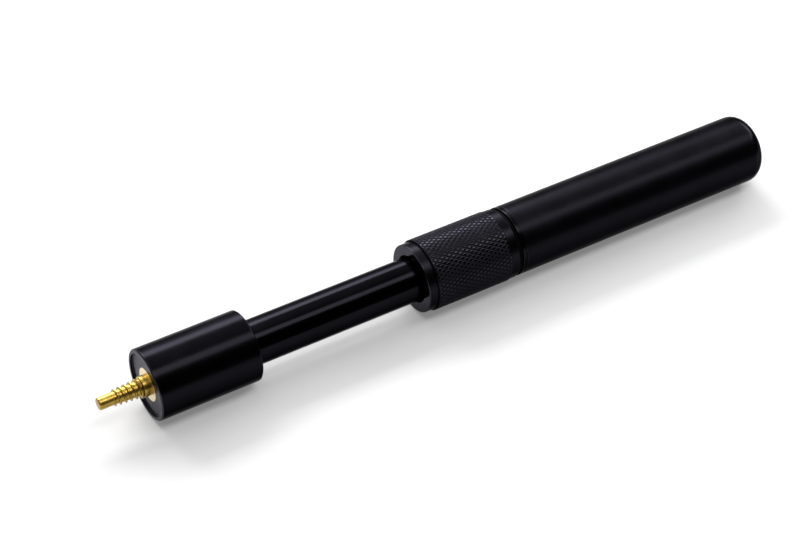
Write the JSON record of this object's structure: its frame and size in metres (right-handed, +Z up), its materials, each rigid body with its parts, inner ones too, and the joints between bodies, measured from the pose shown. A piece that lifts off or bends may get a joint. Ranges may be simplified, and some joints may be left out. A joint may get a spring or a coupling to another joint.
{
  "type": "telescopic cue extension",
  "caption": "Round black telescopic extension for a billiard cue: brass threaded joint pin, sliding rod, knurled twist-lock collar and barrel.",
  "frame": {"origin": "on the axis at the head's front rim, which is the middle of the joint pin's plain shoulder", "axes": "+X along the axis towards the rear end, away from the joint pin; +Z up"},
  "size_m": [0.3038, 0.0298, 0.0298],
  "materials": {
    "anodised": "black anodised, fine turned satin",
    "brass": "turned and polished",
    "steel": "plain turned",
    "acetal": "machined",
    "rubber": "matte"
  },
  "bodies": {
    "inner_rod": {"joint_pin": "brass", "brass_insert": "brass", "head_shell": "anodised", "head_bolt": "steel", "head_washer": "steel", "rod_front_plug": "steel", "inner_tube": "anodised", "tail_plug": "steel", "stop_ring": "steel", "tail_washer": "steel", "tail_screw": "steel"},
    "guide_sleeve": {"guide_sleeve": "acetal"},
    "barrel": {"barrel_tube": "anodised", "barrel_nose": "anodised", "nose_liner": "acetal", "nose_o_ring": "rubber", "split_collet": "acetal", "end_bumper": "rubber", "bumper_washer": "steel", "bumper_screw": "steel"},
    "thrust_washer": {"thrust_washer": "steel"},
    "lock_collar": {"lock_collar": "anodised", "wiper_ring": "rubber"}
  },
  "joints": [
    {"name": "barrel_turn", "type": "hinge", "parent": "inner_rod", "child": "guide_sleeve", "pos_m": [0.185, 0, 0], "axis": [1, 0, 0], "continuous": true},
    {"name": "telescope", "type": "slide", "parent": "guide_sleeve", "child": "barrel", "axis": [-1, 0, 0], "range_m": [0, 0.0726]},
    {"name": "collar_feed", "type": "slide", "parent": "barrel", "child": "thrust_washer", "axis": [-1, 0, 0], "range_m": [0, 0.00112]},
    {"name": "collar_turn", "type": "hinge", "parent": "thrust_washer", "child": "lock_collar", "pos_m": [0.137, 0, 0], "axis": [-1, 0, 0], "range_deg": [0, 270]}
  ],
  "couplings": [
    {"joint": "collar_turn", "follows": "collar_feed", "rad_per_m": 4188.8}
  ]
}
